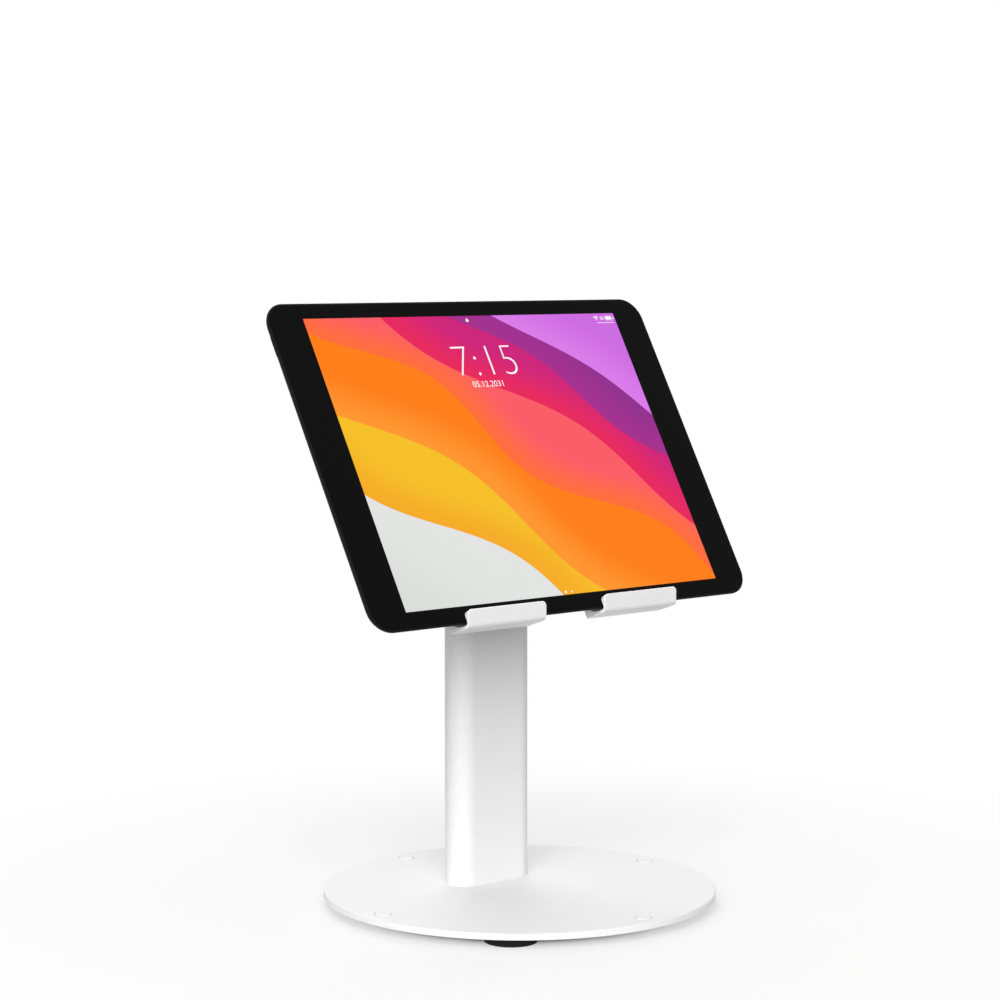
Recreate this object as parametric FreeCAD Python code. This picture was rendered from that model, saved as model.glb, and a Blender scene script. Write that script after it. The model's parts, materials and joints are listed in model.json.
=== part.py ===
import FreeCAD, Part
import math
import os

# Magnetic tablet stand, in millimetres.
# Origin: centre of the round base plate, on the surface that it stands on.
# +Z is up, the display faces -Y and leans back, +X is its right seen from the front.

Vector = FreeCAD.Vector
Placement = FreeCAD.Placement
Rotation = FreeCAD.Rotation

X_AXIS = Vector(1, 0, 0)
Y_AXIS = Vector(0, 1, 0)
Z_AXIS = Vector(0, 0, 1)

# Round base plate
base_diameter = 198.0
base_thickness = 3.3
base_edge_radius = 0.5

# Rubber feet under the base plate
foot_count = 4
foot_diameter = 26.4
foot_height = 5.0
foot_centre_from_edge = 19.2
foot_first_angle = 45.0
foot_edge_radius = 1.0

# Bolt-down holes through the base plate, each closed by a cap in a recess
bolt_hole_count = 4
bolt_hole_diameter = 5.5
bolt_hole_from_edge = 9.7
cap_diameter = 8.8
cap_recess_depth = 1.0
cap_rise = 0.5
cap_edge_radius = 0.4

# Post: a hollow extrusion with rounded ends and two screw channels
post_width = 50.0
post_depth = 18.3
post_wall = 2.0
post_length = 185.7
post_setback = 25.3
channel_from_end = 9.0
channel_diameter = 8.4
channel_bore = 4.2
channel_web = 2.4

# Countersunk screws: post to base plate, hinge block to post
post_screw_head = 9.2
post_screw_length = 16.0
post_screw_socket = 3.0

# Hinge block on top of the post
collar_thickness = 5.0
collar_edge_radius = 0.6
plug_depth = 14.0
tongue_width = 20.0
pivot_rise = 12.0

# Pivot hardware
bolt_shank_diameter = 6.0
bolt_head_diameter = 10.0
bolt_head_height = 6.0
bolt_head_edge_radius = 0.5
bolt_socket = 5.0
bolt_socket_depth = 3.0
bolt_end = 1.0
bushing_wall = 1.5
friction_washer_diameter = 17.0
friction_washer_thickness = 0.8
disc_spring_diameter = 12.5
disc_spring_thickness = 0.7
disc_spring_rise = 0.5
disc_spring_count = 2
plain_washer_diameter = 12.0
plain_washer_thickness = 1.0
nut_across_flats = 10.0
nut_height = 5.0
nut_collar_height = 1.6
nut_collar_diameter = 8.6

# Where the display sits from the pivot, and how far it leans back from upright
display_lean = 29.7
pivot_behind_glass = 28.0
pivot_below_centre = 3.5

# Hinge bracket behind the cradle plate
bracket_width = 50.0
bracket_height = 44.0
bracket_thickness = 3.0
bracket_corner = 5.0
ear_thickness = 4.0
ear_diameter = 18.0
bracket_screw_from_side = 5.5
bracket_screw_from_top = 6.0
bracket_screw_head = 7.5
bracket_screw_shank = 3.9
bracket_screw_socket = 2.5

# Cradle plate: one casting with a panel, two legs and two hooks with wedge-shaped lips
sheet = 2.0
panel_top = 52.0
panel_corner = 12.0
notch_depth = 36.0
notch_corner = 12.0
hook_width = 50.6
hook_spacing = 89.5
lip_height = 5.7
lip_thickness = 4.1
lip_flare = 29.5
lip_corner = 2.4
shelf_slope = 10.8
back_corner_inside = 9.0
back_corner_outside = 0.8
front_corner_inside = 1.4
front_corner_outside = 2.6
cradle_edge_radius = 0.5

# Most of a wall, and of a corner's radius, that a softened edge may take
edge_share = 0.25
corner_share = 0.7

# Magnet tray on the front of the cradle plate
tray_width = 126.0
tray_height = 76.0
tray_corner = 8.0
tray_skin = 0.5
magnet_columns = 4
magnet_rows = 2
magnet_diameter = 18.0
magnet_thickness = 2.6
magnet_pitch_x = 30.0
magnet_pitch_y = 40.0

# Steel plate that is stuck on the tablet's back
keeper_width = 118.0
keeper_height = 68.0
keeper_thickness = 1.0
keeper_corner = 6.0

# Tablet
tablet_width = 250.3
tablet_height = 173.6
tablet_thickness = 7.5
tablet_corner = 12.0
back_taper = 12.5
back_corner = 5.0
side_band = 0.8
shell_side_wall = 1.9
shell_back_wall = 0.9
rim_below_glass = 0.35
rim_width = 0.9
rim_radius = 0.7
glass_thickness = 0.9
glass_edge_radius = 0.25
panel_from_side = 19.15
panel_from_top = 7.3
panel_thickness = 1.8

# Inside the tablet
cell_count = 2
cell_gap = 4.0
cell_from_left = 30.15
cell_from_top = 16.8
cell_to_board = 5.0
cell_to_panel = 0.7
cell_corner = 2.0
board_width = 30.0
board_from_right = 27.15
board_from_top = 26.8
board_thickness = 0.8
board_standoff = 1.2
board_standoff_diameter = 5.0
board_screw_inset = 4.0
board_screw_shank = 1.4
board_screw_head = 2.8
board_screw_head_height = 0.7
shield_width = 20.0
shield_height = 34.0
shield_pitch = 52.0
shield_to_panel = 0.7
speaker_width = 14.0
speaker_height = 30.0
speaker_from_right = 10.15
speaker_to_panel = 0.4
speaker_corner = 3.0

# Charging port and speaker holes in the tablet's right edge
port_width = 9.0
port_opening = 3.2
port_inset = 0.6
port_depth = 8.0
port_wall = 0.35
port_tongue_width = 6.0
port_tongue_thickness = 0.7
edge_row_below_glass = 3.6
grille_hole_diameter = 1.3
grille_hole_count = 7
grille_hole_pitch = 3.0
grille_first_hole = 22.0

# Cameras
rear_camera_diameter = 10.0
rear_camera_rise = 0.6
rear_camera_ring = 0.9
rear_camera_lens_recess = 0.25
rear_camera_from_left = 19.0
rear_camera_from_top = 19.0
rear_camera_depth = 2.5
front_camera_diameter = 4.0
front_camera_from_left = 9.5
front_camera_base = 7.0
front_camera_base_thickness = 2.5

# Buttons: power on the left edge, volume on the top edge
button_length = 10.0
button_width = 2.2
button_proud = 0.15
button_travel = 0.3
button_below_glass = 3.2
button_flange_margin = 0.6
button_flange_thickness = 0.8
button_flange_from_edge = 5.6
power_from_top = 22.0
volume_from_left = 24.0
volume_pitch = 13.0
switch_depth = 2.5
switch_width = 5.0

# Clearances
screw_clearance = 0.05
cap_clearance = 0.1
plug_clearance = 0.1
press_clearance = 0.02
running_clearance = 0.05
washer_clearance = 0.05
tray_clearance = 0.1
magnet_clearance = 0.1
lip_clearance = 0.16
shelf_clearance = 0.7
glass_clearance = 0.1
panel_clearance = 0.1
button_clearance = 0.12
camera_clearance = 0.05
past = 1.0

# Sections that the tablet's tapered back is lofted through
taper_steps = 6

# Circles on the base plate
foot_circle_radius = base_diameter / 2 - foot_centre_from_edge
bolt_circle_radius = base_diameter / 2 - bolt_hole_from_edge

# Heights up the stand
base_top = foot_height + base_thickness
post_top = base_top + post_length
collar_top = post_top + collar_thickness
pivot_height = collar_top + pivot_rise
pivot = Vector(0, post_setback, pivot_height)
channel_reach = post_width / 2 - channel_from_end

# The display's own frame: x to the right, y up the glass, z out of the glass
display_turn = Rotation(X_AXIS, 90.0 - display_lean)
display_centre = pivot + display_turn.multVec(Vector(0, pivot_below_centre, pivot_behind_glass))
display_place = Placement(display_centre, display_turn)

# Layers behind the glass, as heights in the display's frame
rim_top = -rim_below_glass
band_bottom = rim_top - side_band
tablet_back = -tablet_thickness
shell_floor = tablet_back + shell_back_wall
glass_back = -glass_thickness
panel_back = glass_back - panel_thickness
keeper_back = tablet_back - keeper_thickness
tray_front = keeper_back - tray_clearance
tray_back = tray_front - tray_skin - magnet_thickness
plate_front = tray_back
plate_back = plate_front - sheet
bracket_back = plate_back - bracket_thickness
pivot_y = -pivot_below_centre
pivot_z = -pivot_behind_glass

# Layout behind the glass, seen from the front
tablet_left = -tablet_width / 2
tablet_right = tablet_width / 2
tablet_top = tablet_height / 2
tablet_bottom = -tablet_height / 2
panel_width = tablet_width - 2 * panel_from_side
panel_height = tablet_height - 2 * panel_from_top
board_height = tablet_height - 2 * board_from_top
board_centre = tablet_right - board_from_right - board_width / 2
speaker_centre = tablet_right - speaker_from_right - speaker_width / 2
cells_left = tablet_left + cell_from_left
cells_right = board_centre - board_width / 2 - cell_to_board
cell_width = (cells_right - cells_left - (cell_count - 1) * cell_gap) / cell_count
cell_height = tablet_height - 2 * cell_from_top
cell_top = panel_back - cell_to_panel
grille_middle = grille_first_hole + (grille_hole_count - 1) * grille_hole_pitch / 2

# Widths of the pivot's stack, from the middle outwards
washer_from = tongue_width / 2 + washer_clearance
ear_from = washer_from + friction_washer_thickness
ear_to = ear_from + ear_thickness
spring_step = disc_spring_thickness + disc_spring_rise
springs_to = ear_to + disc_spring_count * spring_step
plain_washer_to = springs_to + plain_washer_thickness
nut_to = plain_washer_to + nut_height
bolt_to = nut_to + nut_collar_height + bolt_end


def upright_edges(shape):
    """The straight edges of a shape that run along Z."""
    found = []
    for edge in shape.Edges:
        box = edge.BoundBox
        if box.XLength < 1e-6 and box.YLength < 1e-6:
            found.append(edge)
    return found


def edges_at_height(shape, height):
    """The edges of a shape that lie flat at one height."""
    found = []
    for edge in shape.Edges:
        box = edge.BoundBox
        if abs(box.ZMin - height) < 1e-6 and abs(box.ZMax - height) < 1e-6:
            found.append(edge)
    return found


def rim_edges(shape):
    """The long edges round both faces of a plate: all but those that run across its thickness."""
    across = upright_edges(shape)
    return [edge for edge in shape.Edges if not any(edge.isSame(short) for short in across)]


def rounded_block(width, height, corner, low, high):
    """A block centred on the Z axis, with its four upright edges rounded."""
    block = Part.makeBox(width, height, high - low, Vector(-width / 2, -height / 2, low))
    return block.makeFillet(corner, upright_edges(block))


def block_at(x, y, width, height, low, high):
    """A plain block centred on (x, y)."""
    return Part.makeBox(width, height, high - low, Vector(x - width / 2, y - height / 2, low))


def cylinder(diameter, low, high, x=0.0, y=0.0):
    """An upright cylinder."""
    return Part.makeCylinder(diameter / 2, high - low, Vector(x, y, low))


def cross_cylinder(diameter, start, end, y, z):
    """A cylinder along X."""
    return Part.makeCylinder(diameter / 2, end - start, Vector(start, y, z), X_AXIS)


def stadium(width, depth, low, high):
    """An upright prism with flat sides and half-round ends, its long way along X."""
    radius = depth / 2
    reach = width / 2 - radius
    right_top = Vector(reach, radius, low)
    right_bottom = Vector(reach, -radius, low)
    left_top = Vector(-reach, radius, low)
    left_bottom = Vector(-reach, -radius, low)
    outline = Part.Wire([
        Part.LineSegment(left_bottom, right_bottom).toShape(),
        Part.Arc(right_bottom, Vector(width / 2, 0, low), right_top).toShape(),
        Part.LineSegment(right_top, left_top).toShape(),
        Part.Arc(left_top, Vector(-width / 2, 0, low), left_bottom).toShape(),
    ])
    return Part.Face(outline).extrude(Vector(0, 0, high - low))


def hexagon(across_flats, low, high):
    """An upright hexagonal prism."""
    radius = across_flats / math.sqrt(3)
    corners = []
    for i in range(7):
        angle = math.radians(60 * i)
        corners.append(Vector(radius * math.cos(angle), radius * math.sin(angle), low))
    return Part.Face(Part.makePolygon(corners)).extrude(Vector(0, 0, high - low))


def countersunk_screw(head, shank, length, socket):
    """A flat-head screw that points down, with its head's face at height 0."""
    cone_height = (head - shank) / 2
    screw = Part.makeCone(shank / 2, head / 2, cone_height, Vector(0, 0, -cone_height))
    screw = screw.fuse(cylinder(shank, -length, -cone_height / 2))
    return screw.cut(hexagon(socket, -cone_height, past)).removeSplitter()


def countersink(head, shank, length):
    """The space that a flat-head screw takes, with its clearance."""
    wide_head = head + 2 * screw_clearance
    wide_shank = shank + 2 * screw_clearance
    cone_height = (wide_head - wide_shank) / 2
    space = Part.makeCone(wide_shank / 2, wide_head / 2, cone_height, Vector(0, 0, -cone_height))
    space = space.fuse(cylinder(wide_head, 0, past))
    return space.fuse(cylinder(wide_shank, -length, -cone_height / 2))


def moved(shape, x=0.0, y=0.0, z=0.0):
    """A copy of a shape, shifted."""
    copy = shape.copy()
    copy.translate(Vector(x, y, z))
    return copy


def placed(shape, placement):
    """A copy of a shape, carried by a placement."""
    copy = shape.copy()
    copy.Placement = placement.multiply(copy.Placement)
    return copy


def on_circle(shape, radius, count, first_angle):
    """Copies of a shape round the Z axis."""
    copies = []
    for i in range(count):
        angle = first_angle + i * 360.0 / count
        spoke = Rotation(Z_AXIS, angle).multVec(Vector(radius, 0, 0))
        copies.append(moved(shape, spoke.x, spoke.y))
    return copies


def channel_positions():
    """Plan positions of the post's two screw channels."""
    return [(-channel_reach, post_setback), (channel_reach, post_setback)]


# The base plate, its feet and its caps

def base_plate():
    """Steel disc with bolt-down holes, cap recesses and countersinks for the post."""
    disc = cylinder(base_diameter, foot_height, base_top)
    rims = edges_at_height(disc, foot_height) + edges_at_height(disc, base_top)
    disc = disc.makeFillet(base_edge_radius, rims)
    hole = cylinder(bolt_hole_diameter, foot_height - past, base_top + past)
    recess_diameter = cap_diameter + 2 * cap_clearance
    recess = cylinder(recess_diameter, base_top - cap_recess_depth, base_top + past)
    cuts = on_circle(hole, bolt_circle_radius, bolt_hole_count, 0)
    cuts += on_circle(recess, bolt_circle_radius, bolt_hole_count, 0)
    sink = countersink(post_screw_head, channel_bore, post_screw_length)
    sink.rotate(Vector(0, 0, 0), X_AXIS, 180)
    for x, y in channel_positions():
        cuts.append(moved(sink, x, y, foot_height))
    return disc.cut(cuts)


def rubber_feet():
    """Low rubber pads under the base plate."""
    foot = cylinder(foot_diameter, 0, foot_height)
    foot = foot.makeFillet(foot_edge_radius, edges_at_height(foot, 0))
    return Part.makeCompound(on_circle(foot, foot_circle_radius, foot_count, foot_first_angle))


def hole_caps():
    """Low round caps that sit in the recesses over the bolt-down holes."""
    cap = cylinder(cap_diameter, base_top - cap_recess_depth, base_top + cap_rise)
    cap = cap.makeFillet(cap_edge_radius, edges_at_height(cap, base_top + cap_rise))
    return Part.makeCompound(on_circle(cap, bolt_circle_radius, bolt_hole_count, 0))


# The post and the hinge block on it

def post():
    """Hollow extrusion with two screw channels held by webs."""
    inner_width = post_width - 2 * post_wall
    inner_depth = post_depth - 2 * post_wall
    tube = stadium(post_width, post_depth, base_top, post_top)
    tube = tube.cut(stadium(inner_width, inner_depth, base_top, post_top))
    web_depth = post_depth - post_wall
    for side in (-1, 1):
        x = side * channel_reach
        channel = cylinder(channel_diameter, base_top, post_top, x)
        web = block_at(x, 0, channel_web, web_depth, base_top, post_top)
        tube = tube.fuse([channel, web])
        tube = tube.cut(cylinder(channel_bore, base_top, post_top, x))
    return moved(tube.removeSplitter(), 0, post_setback)


def post_screws():
    """Two flat-head screws, up through the base plate into the post."""
    shank = channel_bore - 2 * screw_clearance
    screw = countersunk_screw(post_screw_head, shank, post_screw_length, post_screw_socket)
    screw.rotate(Vector(0, 0, 0), X_AXIS, 180)
    return Part.makeCompound([moved(screw, x, y, foot_height) for x, y in channel_positions()])


def block_screws():
    """Two flat-head screws, down through the hinge block's collar into the post."""
    shank = channel_bore - 2 * screw_clearance
    screw = countersunk_screw(post_screw_head, shank, post_screw_length, post_screw_socket)
    return Part.makeCompound([moved(screw, x, y, collar_top) for x, y in channel_positions()])


def hinge_block():
    """Collar that closes the post, plug inside it, and the tongue that carries the pivot."""
    collar = stadium(post_width, post_depth, post_top, collar_top)
    collar = collar.makeFillet(collar_edge_radius, edges_at_height(collar, collar_top))
    inner_depth = post_depth - 2 * post_wall
    plug_width = 2 * channel_reach - channel_diameter - 2 * plug_clearance
    plug_thickness = inner_depth - 2 * plug_clearance
    plug = block_at(0, 0, plug_width, plug_thickness, post_top - plug_depth, post_top)
    tongue = block_at(0, 0, tongue_width, post_depth, post_top, pivot_height)
    rounding = cross_cylinder(post_depth, -tongue_width / 2, tongue_width / 2, 0, pivot_height)
    body = collar.fuse([plug, tongue, rounding]).removeSplitter()
    bushing_seat = bolt_shank_diameter + 2 * (running_clearance + bushing_wall)
    bore = cross_cylinder(bushing_seat, -tongue_width, tongue_width, 0, pivot_height)
    sink = countersink(post_screw_head, channel_bore, post_screw_length)
    cuts = [bore]
    for side in (-1, 1):
        cuts.append(moved(sink, side * channel_reach, 0, collar_top))
    return moved(body.cut(cuts), 0, post_setback)


def pivot_bushing():
    """Plain sleeve in the tongue, on which the pivot bolt turns."""
    bore = bolt_shank_diameter + 2 * running_clearance
    outside = bore + 2 * (bushing_wall - press_clearance)
    half = tongue_width / 2
    sleeve = cross_cylinder(outside, -half, half, post_setback, pivot_height)
    return sleeve.cut(cross_cylinder(bore, -half, half, post_setback, pivot_height))


# The pivot's hardware, along X through the pivot

def pivot_ring(outside, inside, start, end):
    """A ring round the pivot axis."""
    ring = cross_cylinder(outside, start, end, post_setback, pivot_height)
    return ring.cut(cross_cylinder(inside, start, end, post_setback, pivot_height))


def turned_to_pivot(shape, start):
    """A shape drawn up the Z axis, laid along X at the pivot."""
    lying = shape.copy()
    lying.rotate(Vector(0, 0, 0), Y_AXIS, 90)
    lying.translate(Vector(start, post_setback, pivot_height))
    return lying


def friction_washers():
    """Two flat washers between the tongue and the bracket's ears."""
    bore = bolt_shank_diameter + 2 * screw_clearance
    right = pivot_ring(friction_washer_diameter, bore, washer_from, ear_from)
    left = pivot_ring(friction_washer_diameter, bore, -ear_from, -washer_from)
    return Part.makeCompound([left, right])


def pivot_bolt():
    """Socket-head bolt: head outside the left ear, thread through the nut."""
    shank = cylinder(bolt_shank_diameter, 0, ear_to + bolt_to)
    head = cylinder(bolt_head_diameter, -bolt_head_height, 0)
    head = head.makeFillet(bolt_head_edge_radius, edges_at_height(head, -bolt_head_height))
    bolt = head.fuse(shank)
    bolt = bolt.cut(hexagon(bolt_socket, -bolt_head_height - past, -bolt_head_height + bolt_socket_depth))
    return turned_to_pivot(bolt, -ear_to)


def disc_springs():
    """Conical spring washers under the nut, facing each other in pairs."""
    inner = bolt_shank_diameter / 2 + screw_clearance
    outer = disc_spring_diameter / 2
    springs = []
    for i in range(disc_spring_count):
        rise_inside = disc_spring_rise if i % 2 else 0.0
        rise_outside = disc_spring_rise - rise_inside
        corners = [
            Vector(inner, 0, rise_inside),
            Vector(outer, 0, rise_outside),
            Vector(outer, 0, rise_outside + disc_spring_thickness),
            Vector(inner, 0, rise_inside + disc_spring_thickness),
            Vector(inner, 0, rise_inside),
        ]
        ring = Part.Face(Part.makePolygon(corners)).revolve(Vector(0, 0, 0), Z_AXIS, 360)
        springs.append(turned_to_pivot(ring, ear_to + i * spring_step))
    return Part.makeCompound(springs)


def plain_washer():
    """Flat washer between the disc springs and the nut."""
    bore = bolt_shank_diameter + 2 * screw_clearance
    return pivot_ring(plain_washer_diameter, bore, springs_to, plain_washer_to)


def pivot_nut():
    """Hexagonal lock nut with a round collar."""
    body = hexagon(nut_across_flats, 0, nut_height)
    full_height = nut_height + nut_collar_height
    collar = cylinder(nut_collar_diameter, nut_height, full_height)
    bore = cylinder(bolt_shank_diameter + 2 * press_clearance, -past, full_height + past)
    return turned_to_pivot(body.fuse(collar).cut(bore), plain_washer_to)


# The head: bracket, cradle plate, magnet tray and magnets, in the display's frame

def bracket_screw_positions():
    """Screw positions behind the cradle plate, centred on the pivot's height."""
    positions = []
    for side in (-1, 1):
        for level in (-1, 1):
            x = side * (bracket_width / 2 - bracket_screw_from_side)
            y = pivot_y + level * (bracket_height / 2 - bracket_screw_from_top)
            positions.append((x, y))
    return positions


def hinge_bracket():
    """Flat back plate with two ears that hold the pivot bolt."""
    flange = rounded_block(bracket_width, bracket_height, bracket_corner, bracket_back, plate_back)
    flange = moved(flange, 0, pivot_y)
    parts = []
    for side in (-1, 1):
        middle = side * (ear_from + ear_to) / 2
        start = middle - ear_thickness / 2
        end = middle + ear_thickness / 2
        parts.append(block_at(middle, pivot_y, ear_thickness, ear_diameter, pivot_z, bracket_back))
        parts.append(cross_cylinder(ear_diameter, start, end, pivot_y, pivot_z))
    body = flange.fuse(parts).removeSplitter()
    bore_diameter = bolt_shank_diameter + 2 * screw_clearance
    cuts = [cross_cylinder(bore_diameter, -ear_to - past, ear_to + past, pivot_y, pivot_z)]
    thread_diameter = bracket_screw_shank + 2 * press_clearance
    for x, y in bracket_screw_positions():
        cuts.append(cylinder(thread_diameter, bracket_back - past, plate_back + past, x, y))
    return body.cut(cuts)


def bracket_screws():
    """Four flat-head screws through the cradle plate into the bracket."""
    length = plate_front - bracket_back
    screw = countersunk_screw(bracket_screw_head, bracket_screw_shank, length, bracket_screw_socket)
    return Part.makeCompound([moved(screw, x, y, plate_front) for x, y in bracket_screw_positions()])


def cradle_outline():
    """Side outline of the cradle plate: panel, filled back corner, shelf and lip.

    Drawn in the plane x = 0. The back corner is square outside and widely rounded inside, behind the
    tablet's taper. The shelf falls towards the front. The lip's inner face lies along the glass and its
    outer face flares away from it, so the lip is thickest at its top.
    """
    slope = math.radians(shelf_slope)
    flare = math.radians(lip_flare)
    under = Vector(0, -math.cos(slope), -math.sin(slope))
    front = Vector(0, -math.sin(flare), math.cos(flare))
    backward = Vector(0, 0, -1)
    forward = Vector(0, 0, 1)
    lip_top = tablet_bottom + lip_height
    shelf_level = -math.cos(slope) * (tablet_bottom - shelf_clearance)
    inner_tip = Vector(0, lip_top, lip_clearance)
    outer_tip = Vector(0, lip_top, lip_clearance + lip_thickness)
    inner_top = Vector(0, panel_top, plate_front)
    outer_top = Vector(0, panel_top, plate_back)

    def centre_between(normal_a, reach_a, normal_b, reach_b):
        """The point that lies at these two distances along two slanted normals."""
        determinant = normal_a.y * normal_b.z - normal_a.z * normal_b.y
        y = (reach_a * normal_b.z - normal_a.z * reach_b) / determinant
        z = (normal_a.y * reach_b - reach_a * normal_b.y) / determinant
        return Vector(0, y, z)

    def arc(centre, radius, start, end):
        """Arc from one outward normal to another."""
        middle = (start + end).normalize()
        return [centre + start * radius, centre + middle * radius, centre + end * radius]

    def edges_of(top, back_arc, front_arc, tip):
        return [
            Part.LineSegment(top, back_arc[0]).toShape(),
            Part.Arc(back_arc[0], back_arc[1], back_arc[2]).toShape(),
            Part.LineSegment(back_arc[2], front_arc[0]).toShape(),
            Part.Arc(front_arc[0], front_arc[1], front_arc[2]).toShape(),
            Part.LineSegment(front_arc[2], tip).toShape(),
        ]

    underside = shelf_level + sheet
    back_inner = centre_between(
        under, shelf_level - back_corner_inside, backward, -plate_front - back_corner_inside)
    back_outer = centre_between(
        under, underside - back_corner_outside, backward, -plate_back - back_corner_outside)
    front_inner = centre_between(
        under, shelf_level - front_corner_inside, forward, lip_clearance - front_corner_inside)
    front_outer = centre_between(
        under, underside - front_corner_outside, front, front.dot(outer_tip) - front_corner_outside)
    inner_edges = edges_of(
        inner_top, arc(back_inner, back_corner_inside, backward, under),
        arc(front_inner, front_corner_inside, under, forward), inner_tip)
    outer_edges = edges_of(
        outer_top, arc(back_outer, back_corner_outside, backward, under),
        arc(front_outer, front_corner_outside, under, front), outer_tip)
    ends = [
        Part.LineSegment(inner_top, outer_top).toShape(),
        Part.LineSegment(inner_tip, outer_tip).toShape(),
    ]
    return Part.Face(Part.Wire(Part.__sortEdges__(inner_edges + outer_edges + ends)))


def cradle_plate():
    """Panel, two legs and two hooks in one piece, with softened edges."""
    half_width = hook_spacing / 2 + hook_width / 2
    notch_width = hook_spacing - hook_width
    lip_top = tablet_bottom + lip_height
    plate = moved(cradle_outline().extrude(Vector(2 * half_width, 0, 0)), -half_width)
    notch_front = lip_clearance + lip_thickness + past
    notch = rounded_block(notch_width, 2 * notch_depth, notch_corner, plate_back - past, notch_front)
    plate = plate.cut(moved(notch, 0, tablet_bottom))
    top_corners = [edge for edge in upright_edges(plate) if abs(edge.BoundBox.YMin - panel_top) < 1e-6]
    plate = plate.makeFillet(panel_corner, top_corners)
    lip_corners = [edge for edge in upright_edges(plate) if abs(edge.BoundBox.YMin - lip_top) < 1e-6]
    plate = plate.makeFillet(lip_corner, lip_corners)
    softening = min(
        cradle_edge_radius, edge_share * sheet, corner_share * front_corner_inside,
        corner_share * back_corner_outside)
    plate = plate.makeFillet(softening, rim_edges(plate))
    sink = countersink(bracket_screw_head, bracket_screw_shank, sheet + past)
    return plate.cut([moved(sink, x, y, plate_front) for x, y in bracket_screw_positions()])


def magnet_positions():
    """Rows and columns of magnets, centred on the tray."""
    positions = []
    for column in range(magnet_columns):
        for row in range(magnet_rows):
            x = (column - (magnet_columns - 1) / 2) * magnet_pitch_x
            y = (row - (magnet_rows - 1) / 2) * magnet_pitch_y
            positions.append((x, y))
    return positions


def magnet_tray():
    """Flat tray with a pocket for each magnet, closed towards the tablet."""
    tray = rounded_block(tray_width, tray_height, tray_corner, tray_back, tray_front)
    pocket_diameter = magnet_diameter + 2 * magnet_clearance
    pockets = []
    for x, y in magnet_positions():
        pockets.append(cylinder(pocket_diameter, tray_back, tray_front - tray_skin, x, y))
    return tray.cut(pockets)


def magnets():
    """Disc magnets in the tray's pockets."""
    pocket_floor = tray_front - tray_skin
    discs = [cylinder(magnet_diameter, tray_back, pocket_floor, x, y) for x, y in magnet_positions()]
    return Part.makeCompound(discs)


# The tablet, in the display's frame

def rounded_outline(width, height, corner, level):
    """A rectangle with rounded corners, as a closed wire at one height."""
    quadrants = [(1, 1), (-1, 1), (-1, -1), (1, -1)]
    arcs = []
    for i, (side, rise) in enumerate(quadrants):
        centre = Vector(side * (width / 2 - corner), rise * (height / 2 - corner), level)
        points = []
        for angle in (90 * i, 90 * i + 45, 90 * i + 90):
            points.append(centre + Rotation(Z_AXIS, angle).multVec(Vector(corner, 0, 0)))
        arcs.append(points)
    edges = []
    for i, points in enumerate(arcs):
        following = arcs[(i + 1) % len(arcs)]
        edges.append(Part.Arc(points[0], points[1], points[2]).toShape())
        edges.append(Part.LineSegment(points[2], following[0]).toShape())
    return Part.Wire(edges)


def tapered_body(width, height, corner, top, floor):
    """A flat body: an upright band round the front, then a back that draws in along a quarter ellipse."""
    outlines = []
    for i in range(taper_steps + 1):
        angle = math.radians(90.0 * i / taper_steps)
        inset = back_taper * (1 - math.cos(angle))
        level = band_bottom - (band_bottom - floor) * math.sin(angle)
        radius = corner + (back_corner - corner) * inset / back_taper
        outlines.append(rounded_outline(width - 2 * inset, height - 2 * inset, radius, level))
    band = rounded_block(width, height, corner, band_bottom, top)
    return band.fuse(Part.makeLoft(outlines, True)).removeSplitter()


def tablet_form(grow=0.0):
    """Outer form of the tablet without its glass."""
    width = tablet_width + 2 * grow
    height = tablet_height + 2 * grow
    return tapered_body(width, height, tablet_corner + grow, rim_top, tablet_back - grow)


def tablet_cavity():
    """Hollow of the tablet's shell, below the glass."""
    width = tablet_width - 2 * shell_side_wall
    height = tablet_height - 2 * shell_side_wall
    return tapered_body(width, height, tablet_corner - shell_side_wall, glass_back, shell_floor)


def glass_block(gap, low, high):
    """Outline of the cover glass inside the shell's rim, made larger by a gap."""
    inset = 2 * (rim_width + glass_clearance - gap)
    corner = tablet_corner - rim_width - glass_clearance + gap
    return rounded_block(tablet_width - inset, tablet_height - inset, corner, low, high)


def edge_place(name):
    """Places on the tablet's edges, with x inwards, y along the edge and z out of the glass."""
    if name == "power_button":
        level = tablet_top - power_from_top
        return Placement(Vector(tablet_left, level, -button_below_glass), Rotation())
    steps = 0 if name == "volume_up_button" else 1
    x = tablet_left + volume_from_left + steps * volume_pitch
    return Placement(Vector(x, tablet_top, -button_below_glass), Rotation(Z_AXIS, -90))


def edge_stadium(length, width, start, end):
    """A flat-sided pin that runs along x, its long way along y."""
    pin = stadium(length, width, start, end)
    pin.rotate(Vector(0, 0, 0), Vector(1, 1, 1), 120)
    return pin


button_names = ["power_button", "volume_up_button", "volume_down_button"]


def button(name):
    """A push button: a cap that follows the tablet's side, and a flange that keeps it in."""
    flange_to = button_flange_from_edge + button_flange_thickness
    flange_length = button_length + 2 * button_flange_margin
    flange_width = button_width + 2 * button_flange_margin
    cap = edge_stadium(button_length, button_width, -past, flange_to)
    cap = cap.fuse(edge_stadium(flange_length, flange_width, button_flange_from_edge, flange_to))
    cap = placed(cap.removeSplitter(), edge_place(name))
    return cap.common(tablet_form(button_proud))


def button_slot(name):
    """The slot through the shell's wall for a button."""
    slot = edge_stadium(
        button_length + 2 * button_clearance, button_width + 2 * button_clearance,
        -past, button_flange_from_edge)
    return placed(slot, edge_place(name))


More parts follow.
